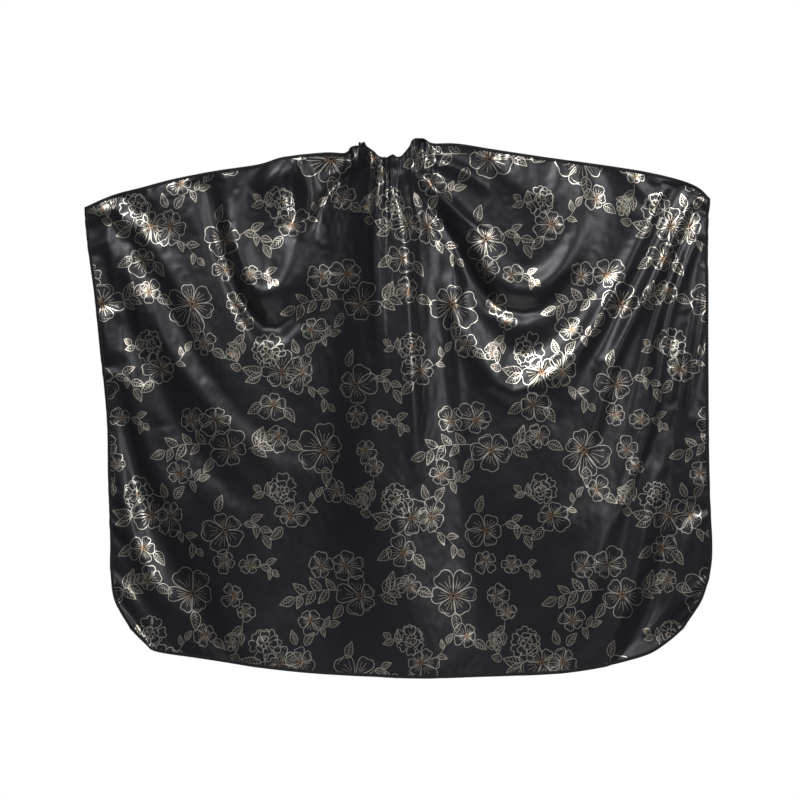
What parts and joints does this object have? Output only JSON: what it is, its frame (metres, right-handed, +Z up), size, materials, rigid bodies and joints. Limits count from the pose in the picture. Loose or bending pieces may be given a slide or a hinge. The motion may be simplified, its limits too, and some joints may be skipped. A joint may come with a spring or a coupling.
{
  "type": "barber cape",
  "caption": "Wide hair-cutting cape hung by its elastic neck band, with bound edges, rounded lower corners and two press-stud neck tabs.",
  "frame": {"origin": "centre of the neck opening, in the plane of the neck band's middle", "axes": "+X across the cape towards the viewer's right, the front faces -Y, +Z up"},
  "size_m": [1.4057, 0.1467, 1.1875],
  "materials": {
    "printed_cloth": "satin",
    "edge_binding": "matte",
    "elastic": "matte",
    "tab_cloth": "satin",
    "interlining": "matte",
    "stud_metal": "satin"
  },
  "bodies": {
    "root": {"cloth_front": "printed_cloth", "binding_front_left": "edge_binding", "binding_front_right": "edge_binding", "binding_hem": "edge_binding", "neck_tape": "edge_binding", "neck_elastic": "elastic"},
    "left_side": {"cloth_left_side": "printed_cloth", "binding_left_top": "edge_binding", "binding_left_side": "edge_binding"},
    "right_side": {"cloth_right_side": "printed_cloth", "binding_right_top": "edge_binding", "binding_right_side": "edge_binding"},
    "left_tab": {"left_tab_lining": "tab_cloth", "left_tab_interlining": "interlining", "left_tab_outer": "tab_cloth", "press_sockets": "stud_metal", "socket_caps": "stud_metal"},
    "right_tab": {"right_tab_lining": "tab_cloth", "right_tab_interlining": "interlining", "right_tab_outer": "tab_cloth", "press_stud": "stud_metal", "stud_cap": "stud_metal"}
  },
  "joints": [
    {"name": "left_side_wrap", "type": "hinge", "parent": "root", "child": "left_side", "pos_m": [-0.22, 0, -0.6], "axis": [0, 0, -1], "range_deg": [-20, 95]},
    {"name": "right_side_wrap", "type": "hinge", "parent": "root", "child": "right_side", "pos_m": [0.22, 0, -0.6], "axis": [0, 0, 1], "range_deg": [-20, 95]},
    {"name": "left_tab_close", "type": "hinge", "parent": "root", "child": "left_tab", "pos_m": [-0.068, 0.002, -0.008], "axis": [0, 0, -1], "range_deg": [-60, 90]},
    {"name": "right_tab_close", "type": "hinge", "parent": "root", "child": "right_tab", "pos_m": [0.068, 0.002, -0.008], "axis": [0, 0, 1], "range_deg": [-60, 90]}
  ]
}
